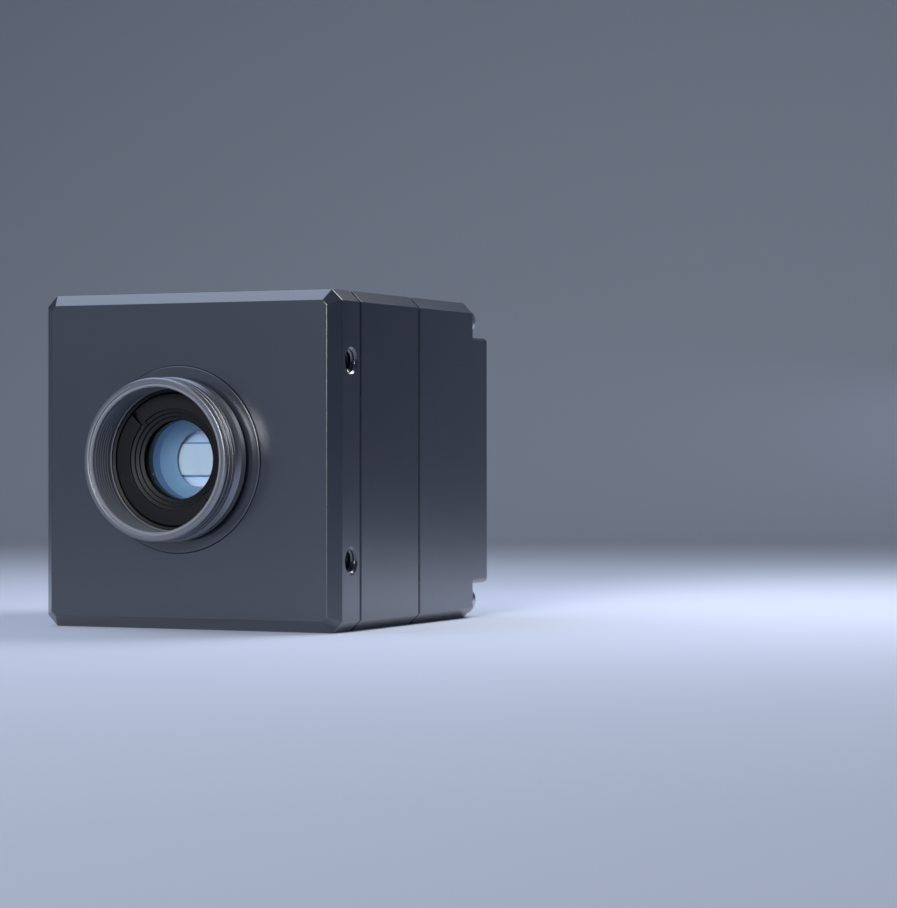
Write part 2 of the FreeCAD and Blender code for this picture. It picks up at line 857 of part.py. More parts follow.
def io_socket_insert():
    """Plastic core with a key groove on its +X side."""
    pillar = cylinder(io_insert_r, io_base_top, io_insert_top, io_x, io_z)
    key = cylinder(io_key_r, io_base_top, io_insert_top, io_x + io_insert_r, io_z)
    base = cylinder(io_bore_r, io_floor, io_base_top, io_x, io_z)
    tail = cylinder(io_tail_r, io_end, io_floor, io_x, io_z)
    core = joined([pillar.cut(key), base, tail])
    holes = [cylinder(io_contact_r, io_end, io_insert_top, x, z) for x, z in io_contact_places()]
    return drilled(core, holes)


def io_socket_contacts():
    return group([contact(x, z, io_contact_r, io_insert_top - contact_recess, io_end)
                  for x, z in io_contact_places()])


def light_pipe():
    """Clear rod from the light on the interface board to the rear face, held by a flange inside the wall."""
    top = rear_face - light_recess
    led_top = interface_board_back + status_led_height
    rod = cylinder(light_pipe_r, led_top + status_led_gap, top, light_x, light_z)
    rod = rod.makeFillet(light_dome, edges_at(rod, top))
    flange = cylinder(light_flange_r, rear_inner - light_flange_height, rear_inner, light_x, light_z)
    return joined([rod, flange])


def status_led():
    return block(status_led_size, status_led_size, interface_board_back,
                 interface_board_back + status_led_height, light_x, light_z)


nodes = {
    "front_plate": front_plate(),
    "lens_mount": lens_mount(),
    "mount_seal": mount_seal(),
    "mount_lock_ring": mount_lock_ring(),
    "retaining_ring": retaining_ring(),
    "filter_window": filter_window(),
    "light_baffle": light_baffle(),
    "sensor_package": sensor_package(),
    "sensor_window": sensor_window(),
    "sensor_die": sensor_die(),
    "sensor_socket": sensor_socket(),
    "sensor_board": sensor_board(),
    "cold_block": cold_block(),
    "cooler_cold_plate": on_lens_axis(cooler_width, cooler_height, cooler_front, pellet_front),
    "cooler_pellets": cooler_pellets(),
    "cooler_hot_plate": on_lens_axis(cooler_width, cooler_height, pellet_back, spreader_front),
    "heat_spreader": heat_spreader(),
    "processor_pad": block(thermal_pad_size, thermal_pad_size, spreader_back, processor_front),
    "processor_chip": block(processor_size, processor_size, processor_front, processor_board_front),
    "processor_board": circuit_board(processor_board_front),
    "memory_chips": memory_chips(),
    "power_board": circuit_board(power_board_front),
    "power_inductors": power_inductors(),
    "power_capacitors": power_capacitors(),
    "interface_board": interface_board(),
    "network_transformer": network_transformer(),
    "status_led": status_led(),
    "light_pipe": light_pipe(),
    "sensor_link": board_link(sensor_board_back, processor_board_front),
    "power_link": board_link(processor_board_back, power_board_front),
    "interface_link": board_link(power_board_back, interface_board_front),
    "front_spacers": spacers(sensor_board_back, processor_board_front),
    "middle_spacers": spacers(processor_board_back, power_board_front),
    "rear_spacers": spacers(power_board_back, interface_board_front),
    "stack_screws": stack_screws(),
    "front_gasket": gasket(plate_back),
    "middle_housing": middle_housing(),
    "rear_gasket": gasket(middle_back),
    "rear_housing": rear_housing(),
    "corner_screws": corner_screws(),
    "network_socket_shell": socket_shell(
        network_x, network_z, network_collar_r, network_collar_height, network_collar_round, network_shell_r,
        network_shell_length, network_bore_r, network_bore_depth, network_mouth_chamfer, network_tail_r),
    "network_socket_insert": network_socket_insert(),
    "network_socket_shield": network_socket_shield(),
    "network_socket_contacts": network_socket_contacts(),
    "network_socket_nut": socket_nut(network_x, network_z, network_shell_r),
    "network_socket_seal": socket_seal(network_x, network_z, network_shell_r),
    "io_socket_shell": socket_shell(
        io_x, io_z, io_collar_r, io_collar_height, io_collar_round, io_shell_r, io_shell_length, io_bore_r,
        io_bore_depth, io_mouth_chamfer, io_tail_r),
    "io_socket_insert": io_socket_insert(),
    "io_socket_contacts": io_socket_contacts(),
    "io_socket_nut": socket_nut(io_x, io_z, io_shell_r),
    "io_socket_seal": socket_seal(io_x, io_z, io_shell_r),
}

# The camera stands on its base with the middle of its length over the origin
overall_length = tube_protrusion + rear_face + max(network_collar_height, io_collar_height)
stand = Vector(0, tube_protrusion - overall_length / 2, half_height)

os.makedirs("parts", exist_ok=True)
for name, shape in nodes.items():
    shape.translated(stand).exportStep("parts/" + name + ".step")
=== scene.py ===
import bpy
import math
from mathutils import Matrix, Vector


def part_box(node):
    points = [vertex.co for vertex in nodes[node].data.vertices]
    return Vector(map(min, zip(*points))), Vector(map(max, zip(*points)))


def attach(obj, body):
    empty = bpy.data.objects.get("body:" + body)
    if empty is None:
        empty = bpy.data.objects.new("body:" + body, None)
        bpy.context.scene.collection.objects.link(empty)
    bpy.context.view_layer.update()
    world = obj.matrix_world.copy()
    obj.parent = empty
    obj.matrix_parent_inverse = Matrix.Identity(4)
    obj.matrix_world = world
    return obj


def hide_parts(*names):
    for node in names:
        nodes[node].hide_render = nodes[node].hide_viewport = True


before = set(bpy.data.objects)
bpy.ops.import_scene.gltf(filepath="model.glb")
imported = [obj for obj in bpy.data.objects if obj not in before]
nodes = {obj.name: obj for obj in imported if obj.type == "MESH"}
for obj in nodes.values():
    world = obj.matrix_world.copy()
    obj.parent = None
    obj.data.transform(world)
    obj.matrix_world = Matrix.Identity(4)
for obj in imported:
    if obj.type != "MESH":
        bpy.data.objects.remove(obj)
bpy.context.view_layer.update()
mm = 0.001
weld = 0.002 * mm  # points closer than this are one
lensAxis = (-1.7, 30.25)  # x and z of the lens axis, mm
frontFace = -28.45  # y of the front face, mm
rearFace = 35.85  # y of the rear face, mm
print("frame loaded:", len(nodes), "nodes")


# helpers for modelling

def freshStart():
    if bpy.context.mode != "OBJECT":
        bpy.ops.object.mode_set(mode="OBJECT")
    bpy.ops.object.select_all(action="DESELECT")


def activate(piece):
    freshStart()
    piece.select_set(True)
    bpy.context.view_layer.objects.active = piece


def applyModifier(piece, kind, **settings):
    activate(piece)
    modifier = piece.modifiers.new(kind.lower(), kind)
    for key, value in settings.items():
        setattr(modifier, key, value)
    bpy.ops.object.modifier_apply(modifier=modifier.name)


def breakEdges(piece, width, segments=2, angle=28, clamp=False):
    # small rounding on every sharp edge, so that edges catch the light
    applyModifier(piece, "BEVEL", width=width * mm, segments=segments, limit_method="ANGLE",
                  angle_limit=math.radians(angle), use_clamp_overlap=clamp, harden_normals=False)


def smooth(piece, angle=50):
    # large faces keep their own normal, so that only the rounded edges shade over
    activate(piece)
    bpy.ops.object.shade_smooth_by_angle(angle=math.radians(angle))
    applyModifier(piece, "WEIGHTED_NORMAL", mode="FACE_AREA", weight=50, keep_sharp=True)


def drawProfile(name, points):
    # a plane merged to one point is drawn out along the profile by extruding
    freshStart()
    bpy.ops.mesh.primitive_plane_add(size=mm)
    piece = bpy.context.object
    piece.name = name
    corners = [Vector(point) * mm for point in points]
    bpy.ops.object.mode_set(mode="EDIT")
    bpy.ops.mesh.select_all(action="SELECT")
    bpy.ops.mesh.merge(type="CENTER")
    bpy.ops.transform.translate(value=corners[0])
    for here, there in zip(corners, corners[1:]):
        bpy.ops.mesh.extrude_region_move(TRANSFORM_OT_translate={"value": there - here})
    bpy.ops.mesh.select_all(action="SELECT")
    bpy.ops.mesh.remove_doubles(threshold=weld)
    return piece


def turnPiece(name, profile, axis, datum, steps=128):
    # profile of (radius, y) points, turned about the axis as on a lathe
    points = [(axis[0] + r, datum + y, axis[1]) for r, y in profile]
    piece = drawProfile(name, points)
    bpy.ops.mesh.spin(steps=steps, angle=2 * math.pi, center=(axis[0] * mm, 0, axis[1] * mm),
                      axis=(0, 1, 0))
    bpy.ops.mesh.select_all(action="SELECT")
    bpy.ops.mesh.remove_doubles(threshold=weld)
    bpy.ops.mesh.normals_make_consistent(inside=False)
    bpy.ops.object.mode_set(mode="OBJECT")
    return piece


def threadRidge(name, thread, place):
    # one ridge section wound up about the y axis, then set in its bore
    half = thread["foot"] / 2
    flat = thread["crest"] / 2
    outer = thread["rootR"]
    inner = thread["crestR"]
    section = [(outer, -half, 0), (inner, -flat, 0), (inner, flat, 0), (outer, half, 0),
               (outer, -half, 0)]
    piece = drawProfile(name, section)
    bpy.ops.object.mode_set(mode="OBJECT")
    applyModifier(piece, "SCREW", axis="Y", angle=2 * math.pi, screw_offset=thread["pitch"] * mm,
                  iterations=thread["turns"], steps=thread["steps"], render_steps=thread["steps"],
                  use_merge_vertices=False)
    bpy.ops.object.mode_set(mode="EDIT")
    bpy.ops.mesh.select_all(action="SELECT")
    bpy.ops.mesh.remove_doubles(threshold=weld)
    bpy.ops.mesh.fill_holes(sides=0)
    bpy.ops.mesh.select_all(action="SELECT")
    bpy.ops.mesh.normals_make_consistent(inside=False)
    bpy.ops.object.mode_set(mode="OBJECT")
    piece.location = Vector(place) * mm
    bpy.ops.object.transform_apply(location=True, rotation=True, scale=True)
    return piece


def plainCopy(nodeName, pieceName):
    # the solid's own mesh, its triangles merged to faces
    piece = bpy.data.objects.new(pieceName, nodes[nodeName].data.copy())
    bpy.context.scene.collection.objects.link(piece)
    activate(piece)
    bpy.ops.mesh.customdata_custom_splitnormals_clear()
    bpy.ops.object.mode_set(mode="EDIT")
    bpy.ops.mesh.select_all(action="SELECT")
    bpy.ops.mesh.remove_doubles(threshold=weld)
    bpy.ops.mesh.dissolve_limited(angle_limit=math.radians(0.5))
    bpy.ops.object.mode_set(mode="OBJECT")
    return piece


def softCopy(nodeName, pieceName, width, clamp=False):
    piece = plainCopy(nodeName, pieceName)
    breakEdges(piece, width, clamp=clamp)
    smooth(piece)
    return piece


def cutAway(piece, cutter):
    applyModifier(piece, "BOOLEAN", operation="DIFFERENCE", object=cutter, solver="EXACT")
    bpy.data.objects.remove(cutter)


def dress(piece, material, slotName, *replaced):
    piece.data.materials.clear()
    piece.data.materials.append(material)
    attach(piece, "root")
    if replaced:
        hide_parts(*replaced)


# helpers for materials

def srgb(code):
    channels = [int(code[i:i + 2], 16) / 255 for i in (1, 3, 5)]
    return (*[c / 12.92 if c <= 0.04045 else ((c + 0.055) / 1.055) ** 2.4 for c in channels], 1.0)


def perMetre(sizeMm):
    return 1 / (sizeMm * mm)


def addNode(tree, kind, inputs=None, **settings):
    node = tree.nodes.new(kind)
    for key, value in settings.items():
        setattr(node, key, value)
    for key, value in (inputs or {}).items():
        if isinstance(value, bpy.types.NodeSocket):
            tree.links.new(value, node.inputs[key])
        else:
            node.inputs[key].default_value = value
    return node


def newMaterial(name):
    material = bpy.data.materials.new(name)
    material.use_nodes = True
    material.node_tree.nodes.clear()
    return material, material.node_tree


def grainFinish(name, look):
    # base colour, roughness and bump that vary with one grain and one slow cloud; the grain is drawn
    # coarser than the real one where it would be too fine to show
    material, tree = newMaterial(name)
    place = addNode(tree, "ShaderNodeTexCoord").outputs["Object"]
    grain = addNode(tree, "ShaderNodeTexNoise", {
        "Vector": place, "Scale": perMetre(look["grainMm"]), "Detail": 3.0, "Roughness": 0.6})
    cloud = addNode(tree, "ShaderNodeTexNoise", {
        "Vector": place, "Scale": perMetre(look["cloudMm"]), "Detail": 2.0})
    blend = addNode(tree, "ShaderNodeMath", {0: cloud.outputs["Fac"], 1: 0.3, 2: grain.outputs["Fac"]},
                    operation="MULTIPLY_ADD")
    level = addNode(tree, "ShaderNodeMapRange", {
        "Value": blend.outputs[0], "From Min": 0.35, "From Max": 0.95})
    colour = addNode(tree, "ShaderNodeMixRGB", {
        "Fac": level.outputs[0], "Color1": srgb(look["dark"]), "Color2": srgb(look["light"])})
    rough = addNode(tree, "ShaderNodeMapRange", {
        "Value": grain.outputs["Fac"], "From Min": 0.3, "From Max": 0.7,
        "To Min": look["rough"][0], "To Max": look["rough"][1]})
    bump = addNode(tree, "ShaderNodeBump", {
        "Height": grain.outputs["Fac"], "Strength": look["bump"], "Distance": look["bumpMm"] * mm})
    shader = addNode(tree, "ShaderNodeBsdfPrincipled", {
        "Base Color": colour.outputs["Color"], "Roughness": rough.outputs[0],
        "Normal": bump.outputs["Normal"], "Metallic": look["metallic"], **look.get("sockets", {})})
    addNode(tree, "ShaderNodeOutputMaterial", {"Surface": shader.outputs["BSDF"]})
    return material


def turnedFinish(name, look):
    # lathe marks that vary with radius and depth about the axis
    material, tree = newMaterial(name)
    place = addNode(tree, "ShaderNodeTexCoord").outputs["Object"]
    centred = addNode(tree, "ShaderNodeMapping", {
        "Vector": place, "Location": (-look["axis"][0] * mm, 0, -look["axis"][1] * mm)})
    across = addNode(tree, "ShaderNodeVectorMath", {0: centred.outputs[0], 1: (1, 0, 1)},
                     operation="MULTIPLY")
    radius = addNode(tree, "ShaderNodeVectorMath", {0: across.outputs[0]}, operation="LENGTH")
    apart = addNode(tree, "ShaderNodeSeparateXYZ", {"Vector": centred.outputs[0]})
    lathe = addNode(tree, "ShaderNodeCombineXYZ", {"X": radius.outputs["Value"], "Y": apart.outputs["Y"]})
    marks = addNode(tree, "ShaderNodeTexNoise", {
        "Vector": lathe.outputs[0], "Scale": perMetre(look["markMm"]), "Detail": 2.0, "Roughness": 0.7})
    grain = addNode(tree, "ShaderNodeTexNoise", {
        "Vector": place, "Scale": perMetre(look["grainMm"]), "Detail": 2.0})
    colour = addNode(tree, "ShaderNodeMixRGB", {
        "Fac": marks.outputs["Fac"], "Color1": srgb(look["dark"]), "Color2": srgb(look["light"])})
    rough = addNode(tree, "ShaderNodeMapRange", {
        "Value": grain.outputs["Fac"], "From Min": 0.3, "From Max": 0.7,
        "To Min": look["rough"][0], "To Max": look["rough"][1]})
    bump = addNode(tree, "ShaderNodeBump", {
        "Height": marks.outputs["Fac"], "Strength": look["bump"], "Distance": look["bumpMm"] * mm})
    shader = addNode(tree, "ShaderNodeBsdfPrincipled", {
        "Base Color": colour.outputs["Color"], "Roughness": rough.outputs[0],
        "Normal": bump.outputs["Normal"], "Metallic": look["metallic"], **look.get("sockets", {})})
    addNode(tree, "ShaderNodeOutputMaterial", {"Surface": shader.outputs["BSDF"]})
    return material


# dark satin anodising on fine-blasted aluminium: even slate grey with a soft sheen
anodised = grainFinish("anodisedAluminium", {
    "dark": "#191E29", "light": "#212732", "grainMm": 0.16, "cloudMm": 14.0, "rough": (0.21, 0.26),
    "bump": 0.12, "bumpMm": 0.02, "metallic": 0.0,
    "sockets": {"Specular IOR Level": 1.0, "Coat Weight": 0.9, "Coat Roughness": 0.2}})

# the same anodising on a coarser blast: small pits sparkle against the slate grey
blasted = grainFinish("blastedAluminium", {
    "dark": "#161B26", "light": "#272E3B", "grainMm": 0.3, "cloudMm": 16.0, "rough": (0.21, 0.29),
    "bump": 0.28, "bumpMm": 0.04, "metallic": 0.0,
    "sockets": {"Specular IOR Level": 1.0, "Coat Weight": 0.9, "Coat Roughness": 0.22}})

# turned and dark anodised aluminium: lathe marks streak the highlights round the lens axis
turned = turnedFinish("turnedAluminium", {
    "axis": lensAxis, "dark": "#5E6066", "light": "#9A9CA4", "markMm": 0.16, "grainMm": 0.2,
    "rough": (0.29, 0.35), "bump": 0.08, "bumpMm": 0.01, "metallic": 0.85})

# bored aluminium inside the tube: a duller grey than the rim, with fine rings
boreMetal = turnedFinish("satinBoredAluminium", {
    "axis": lensAxis, "dark": "#6E7178", "light": "#7C7F86", "markMm": 0.2, "grainMm": 0.2,
    "rough": (0.4, 0.5), "bump": 0.1, "bumpMm": 0.01, "metallic": 0.35})

# matt black anodising inside the lens mount: it swallows stray light
innerBlack = turnedFinish("blackAnodisedAluminium", {
    "axis": lensAxis, "dark": "#08090C", "light": "#0F1115", "markMm": 0.15, "grainMm": 0.2,
    "rough": (0.4, 0.5), "bump": 0.2, "bumpMm": 0.01, "metallic": 0.0,
    "sockets": {"Specular IOR Level": 0.2}})

# clear anodised aluminium of the baffle: satin and pale, it passes light on to the sensor
baffleMetal = turnedFinish("satinAluminium", {
    "axis": lensAxis, "dark": "#8FA3B1", "light": "#99ADBB", "markMm": 0.2, "grainMm": 0.3,
    "rough": (0.36, 0.42), "bump": 0.1, "bumpMm": 0.01, "metallic": 0.1})

# the baffle's mouth in a darker blue: a darker ring round the pale cone
dullMetal = turnedFinish("darkerBlueBaffleMouth", {
    "axis": lensAxis, "dark": "#5A80A3", "light": "#648AAD", "markMm": 0.2, "grainMm": 0.3,
    "rough": (0.4, 0.46), "bump": 0.1, "bumpMm": 0.01, "metallic": 0.1})

# dark nickel plate of the round sockets: blue-black with soft highlights
socketMetal = grainFinish("darkNickelPlate", {
    "dark": "#3B404C", "light": "#4C5260", "grainMm": 0.2, "cloudMm": 6.0, "rough": (0.24, 0.36),
    "bump": 0.1, "bumpMm": 0.01, "metallic": 0.8})
# bright nickel plate of the shield: the palest metal at the back
shieldMetal = grainFinish("brightNickelPlate", {
    "dark": "#A9AEBA", "light": "#C9CEDA", "grainMm": 0.15, "cloudMm": 3.0, "rough": (0.2, 0.32),
    "bump": 0.1, "bumpMm": 0.01, "metallic": 1.0})
# gold plate of the contacts: warm points in the dark sockets
contactGold = grainFinish("goldPlate", {
    "dark": "#B08A42", "light": "#D8B368", "grainMm": 0.15, "cloudMm": 3.0, "rough": (0.22, 0.34),
    "bump": 0.05, "bumpMm": 0.01, "metallic": 1.0})
# zinc-plated steel of the screws: bright, with fine forging grain
screwSteel = grainFinish("zincPlatedSteel", {
    "dark": "#A7ABB4", "light": "#D5D9E2", "grainMm": 0.12, "cloudMm": 3.0, "rough": (0.2, 0.36),
    "bump": 0.15, "bumpMm": 0.01, "metallic": 1.0})
# nickel-plated brass of spacers and nuts: a warm pale metal
spacerBrass = grainFinish("nickelledBrass", {
    "dark": "#B5AE93", "light": "#CFC9B0", "grainMm": 0.2, "cloudMm": 4.0, "rough": (0.25, 0.38),
    "bump": 0.1, "bumpMm": 0.01, "metallic": 1.0})
# milled aluminium left bare: bright with a satin grain
plainAluminium = grainFinish("milledAluminium", {
    "dark": "#B9BCC2", "light": "#D2D5DA", "grainMm": 0.25, "cloudMm": 8.0, "rough": (0.3, 0.42),
    "bump": 0.15, "bumpMm": 0.01, "metallic": 1.0})
# milled copper of the cold block: reddish and satin
copper = grainFinish("milledCopper", {
    "dark": "#B46A48", "light": "#D08A64", "grainMm": 0.25, "cloudMm": 5.0, "rough": (0.28, 0.4),
    "bump": 0.15, "bumpMm": 0.01, "metallic": 1.0})
# sawn bismuth telluride of the cooler: dull grey metal
telluride = grainFinish("bismuthTelluride", {
    "dark": "#6E6F74", "light": "#8E9096", "grainMm": 0.15, "cloudMm": 2.0, "rough": (0.4, 0.55),
    "bump": 0.2, "bumpMm": 0.01, "metallic": 0.8})

# moulded rubber of seals and gaskets: matt black
sealRubber = grainFinish("mouldedNitrileRubber", {
    "dark": "#0C0D0F", "light": "#15161A", "grainMm": 0.2, "cloudMm": 6.0, "rough": (0.6, 0.75),
    "bump": 0.2, "bumpMm": 0.02, "metallic": 0.0})
# moulded polyamide of the socket cores: matt slate
insertPlastic = grainFinish("mouldedPolyamide", {
    "dark": "#2C2F39", "light": "#3A3E4A", "grainMm": 0.12, "cloudMm": 3.0, "rough": (0.45, 0.6),
    "bump": 0.2, "bumpMm": 0.015, "metallic": 0.0})
# moulded polymer of the board connectors: matt near-black
connectorPlastic = grainFinish("liquidCrystalPolymer", {
    "dark": "#1A1B1E", "light": "#26282C", "grainMm": 0.15, "cloudMm": 4.0, "rough": (0.45, 0.6),
    "bump": 0.15, "bumpMm": 0.01, "metallic": 0.0})
# moulded epoxy of chips and coils: matt black with fine grain
chipPlastic = grainFinish("mouldedEpoxy", {
    "dark": "#151517", "light": "#212224", "grainMm": 0.1, "cloudMm": 4.0, "rough": (0.5, 0.65),
    "bump": 0.2, "bumpMm": 0.01, "metallic": 0.0})
# solder mask on fibreglass: glossy green boards
boardMask = grainFinish("solderMaskedFibreglass", {
    "dark": "#0E4A2B", "light": "#186238", "grainMm": 0.4, "cloudMm": 10.0, "rough": (0.3, 0.42),
    "bump": 0.15, "bumpMm": 0.01, "metallic": 0.0})
# filled silicone pad: soft, matt and grey-blue
thermalPad = grainFinish("filledSilicone", {
    "dark": "#8C9AB0", "light": "#A3B0C4", "grainMm": 0.3, "cloudMm": 6.0, "rough": (0.7, 0.85),
    "bump": 0.2, "bumpMm": 0.02, "metallic": 0.0})
# sintered alumina of the cooler plates: off-white and dense
ceramic = grainFinish("sinteredAlumina", {
    "dark": "#DADAE6", "light": "#ECECF6", "grainMm": 0.1, "cloudMm": 4.0, "rough": (0.4, 0.55),
    "bump": 0.1, "bumpMm": 0.01, "metallic": 0.0})
# smoked polycarbonate of the light pipe: dark while unlit, with a soft gloss
lightPlastic = grainFinish("smokedPolycarbonate", {
    "dark": "#343743", "light": "#3E4250", "grainMm": 0.2, "cloudMm": 2.0, "rough": (0.22, 0.34),
    "bump": 0.05, "bumpMm": 0.01, "metallic": 0.0})
# drawn aluminium cans of the capacitors: bright and smooth
capacitorCan = grainFinish("drawnAluminiumCan", {
    "dark": "#C4C6CA", "light": "#DADCE0", "grainMm": 0.2, "cloudMm": 4.0, "rough": (0.25, 0.36),
    "bump": 0.1, "bumpMm": 0.01, "metallic": 1.0})
# polished semiconductor of the detector: pale and even behind the blue glass
detector = grainFinish("polishedSemiconductor", {
    "dark": "#F4E6DC", "light": "#FAEEE4", "grainMm": 0.05, "cloudMm": 3.0, "rough": (0.2, 0.26),
    "bump": 0.02, "bumpMm": 0.002, "metallic": 0.2})
# plated floor of the sensor package: mirrors pale light round the detector
platedCeramic = grainFinish("nickelPlatedAlumina", {
    "dark": "#FAF0F4", "light": "#FFF6FA", "grainMm": 0.08, "cloudMm": 3.0, "rough": (0.2, 0.26),
    "bump": 0.02, "bumpMm": 0.002, "metallic": 0.2})
# painted shade: a dull blue-grey frame round the detector's foot, standing in for the shadow in the gap at
# its edge
dieEdgeShade = grainFinish("dieEdgeShadePaint", {
    "dark": "#7290AE", "light": "#7E9CBA", "grainMm": 0.1, "cloudMm": 3.0, "rough": (0.45, 0.55),
    "bump": 0.1, "bumpMm": 0.01, "metallic": 0.0})


def glassFinish(name, look):
    # coated glass hardly mirrors, so most of the light passes straight on with the tint
    material, tree = newMaterial(name)
    place = addNode(tree, "ShaderNodeTexCoord").outputs["Object"]
    film = addNode(tree, "ShaderNodeTexNoise", {
        "Vector": place, "Scale": perMetre(look["filmMm"]), "Detail": 1.0})
    tint = addNode(tree, "ShaderNodeMixRGB", {
        "Fac": film.outputs["Fac"], "Color1": srgb(look["dark"]), "Color2": srgb(look["light"])})
    gloss = addNode(tree, "ShaderNodeBsdfPrincipled", {
        "Base Color": tint.outputs["Color"], "Roughness": 0.0, "IOR": look["ior"],
        "Transmission Weight": 1.0})
    clear = addNode(tree, "ShaderNodeBsdfTransparent", {"Color": tint.outputs["Color"]})
    pane = addNode(tree, "ShaderNodeMixShader", {
        0: look["shine"], 1: clear.outputs["BSDF"], 2: gloss.outputs["BSDF"]})
    addNode(tree, "ShaderNodeOutputMaterial", {"Surface": pane.outputs["Shader"]})
    return material


# coated filter glass: a faint blue over all that lies behind it
filterGlass = glassFinish("coatedFilterGlass", {
    "dark": "#EAF4FC", "light": "#EDF6FE", "filmMm": 8.0, "ior": 1.52, "shine": 0.05})
# polished silica of the sensor window: clear, almost unseen
clearGlass = glassFinish("polishedSilicaGlass", {
    "dark": "#FAFCFD", "light": "#FDFEFF", "filmMm": 8.0, "ior": 1.46, "shine": 0.05})
print("materials made")


# front plate: the solid with broken edges, its side holes opened to the thread's root
plateLook = {"edge": 0.12, "threadR": 1.98, "threadDepth": 5.9, "holeSpacing": 35.0, "holeY": 5.5,
             "half": 30.0}


def sideHolePlaces():
    # mouth and the turn that brings the y axis out of it
    y = frontFace + plateLook["holeY"]
    reach = plateLook["half"]
    places = []
    for offset in (-plateLook["holeSpacing"] / 2, plateLook["holeSpacing"] / 2):
        places.append(((reach, y, reach + offset), (0, 0, -90)))
        places.append(((-reach, y, reach + offset), (0, 0, 90)))
        places.append(((offset, y, 2 * reach), (90, 0, 0)))
        places.append(((offset, y, 0), (-90, 0, 0)))
    return places


frontPlate = plainCopy("front_plate", "frontPlate")
for mouth, turn in sideHolePlaces():
    freshStart()
    bpy.ops.mesh.primitive_cylinder_add(
        vertices=64, radius=plateLook["threadR"] * mm, depth=2 * plateLook["threadDepth"] * mm,
        location=Vector(mouth) * mm, rotation=(math.radians(90), 0, 0))
    cutter = bpy.context.object
    bpy.ops.object.transform_apply(location=False, rotation=True, scale=True)
    cutter.rotation_euler = [math.radians(a) for a in turn]
    cutAway(frontPlate, cutter)
breakEdges(frontPlate, plateLook["edge"])
smooth(frontPlate)
dress(frontPlate, anodised, "anodised_housing", "front_plate")
print("front plate softened:", len(frontPlate.data.polygons), "faces")

# thread of each side hole, M4 with 0.7 mm pitch
sideThread = {"rootR": 2.0, "crestR": 1.66, "pitch": 0.7, "foot": 0.56, "crest": 0.1, "turns": 7, "steps": 40,
              "depth": 5.6}
sideThreads = []
for number, (mouth, turn) in enumerate(sideHolePlaces()):
    ridge = threadRidge("sideThread.%d" % number, sideThread, (0, -sideThread["depth"], 0))
    ridge.rotation_euler = [math.radians(a) for a in turn]
    ridge.location = Vector(mouth) * mm
    activate(ridge)
    bpy.ops.object.transform_apply(location=True, rotation=True, scale=True)
    smooth(ridge)
    dress(ridge, anodised, "anodised_housing")
    sideThreads.append(ridge)
print("side threads cut:", len(sideThreads))

# housings: the solids with narrow broken edges
housingLook = {"middleEdge": 0.03, "rearEdge": 0.04}
middleHousing = softCopy("middle_housing", "middleHousing", housingLook["middleEdge"])
dress(middleHousing, anodised, "anodised_housing", "middle_housing")
rearHousing = softCopy("rear_housing", "rearHousing", housingLook["rearEdge"], clamp=True)
dress(rearHousing, blasted, "textured_housing", "rear_housing")
print("housings softened")

# lens mount, turned: a tube with grooved rim and waist, a satin flange, a bare bore, and a blackened throat
mountLook = {
    "edge": 0.05, "steps": 160, "boreAngle": 25,
    "tube": [(13.35, -8.4), (14.1, -8.4), (14.4, -8.1), (14.4, -7.6), (14.1, -7.6), (14.1, -7.15),
             (14.4, -7.15), (14.4, -6.25), (14.1, -6.25), (14.1, -5.8), (14.4, -5.8), (14.4, -4.9),
             (13.85, -4.2), (13.85, -3.9), (14.6, -3.1), (14.6, -1.5), (13.4, -1.5), (13.4, -0.25),
             (12.9, -0.25), (12.9, -7.9), (13.35, -7.9), (13.35, -8.4)],
    "flange": [(12.9, -0.25), (16.48, -0.25), (16.6, -0.13), (16.6, 2.6), (13.6, 2.6), (13.6, 9.0),
               (12.9, 9.0), (12.9, -0.25)],
    "bore": [(13.35, -8.15), (12.95, -8.15), (12.75, -7.95), (12.75, -1.9), (12.6, -1.75), (12.9, -1.75),
             (12.9, -7.9), (13.35, -7.9), (13.35, -8.15)],
    "throat": [(12.9, -1.75), (12.6, -1.75), (12.6, -1.4), (12.0, -1.4), (12.0, 0.4), (10.6, 0.4),
               (10.6, 1.9), (7.05, 1.9), (7.05, 3.4), (11.0, 3.4), (11.0, 9.0), (12.9, 9.0),
               (12.9, -1.75)]}
lensMount = turnPiece("lensMount", mountLook["tube"], lensAxis, frontFace, mountLook["steps"])
breakEdges(lensMount, mountLook["edge"])
smooth(lensMount)
dress(lensMount, turned, "mount_metal", "lens_mount")
mountFlange = turnPiece("mountFlange", mountLook["flange"], lensAxis, frontFace, mountLook["steps"])
breakEdges(mountFlange, mountLook["edge"])
smooth(mountFlange)
dress(mountFlange, anodised, "mount_metal", "lens_mount")
lensBore = turnPiece("lensBore", mountLook["bore"], lensAxis, frontFace, mountLook["steps"])
smooth(lensBore, mountLook["boreAngle"])
dress(lensBore, boreMetal, "mount_metal", "lens_mount")
lensThroat = turnPiece("lensThroat", mountLook["throat"], lensAxis, frontFace, mountLook["steps"])
breakEdges(lensThroat, mountLook["edge"])
smooth(lensThroat)
dress(lensThroat, innerBlack, "mount_metal", "lens_mount")

# lens thread: 32 turns to the inch
lensThread = {"rootR": 12.77, "crestR": 12.65, "pitch": 0.794, "foot": 0.66, "crest": 0.1, "turns": 6,
              "steps": 128, "start": -7.3, "angle": 25}
ridge = threadRidge("lensThread", lensThread, (lensAxis[0], frontFace + lensThread["start"], lensAxis[1]))
smooth(ridge, lensThread["angle"])
dress(ridge, boreMetal, "mount_metal")
print("lens mount turned:", len(lensMount.data.polygons), "faces")

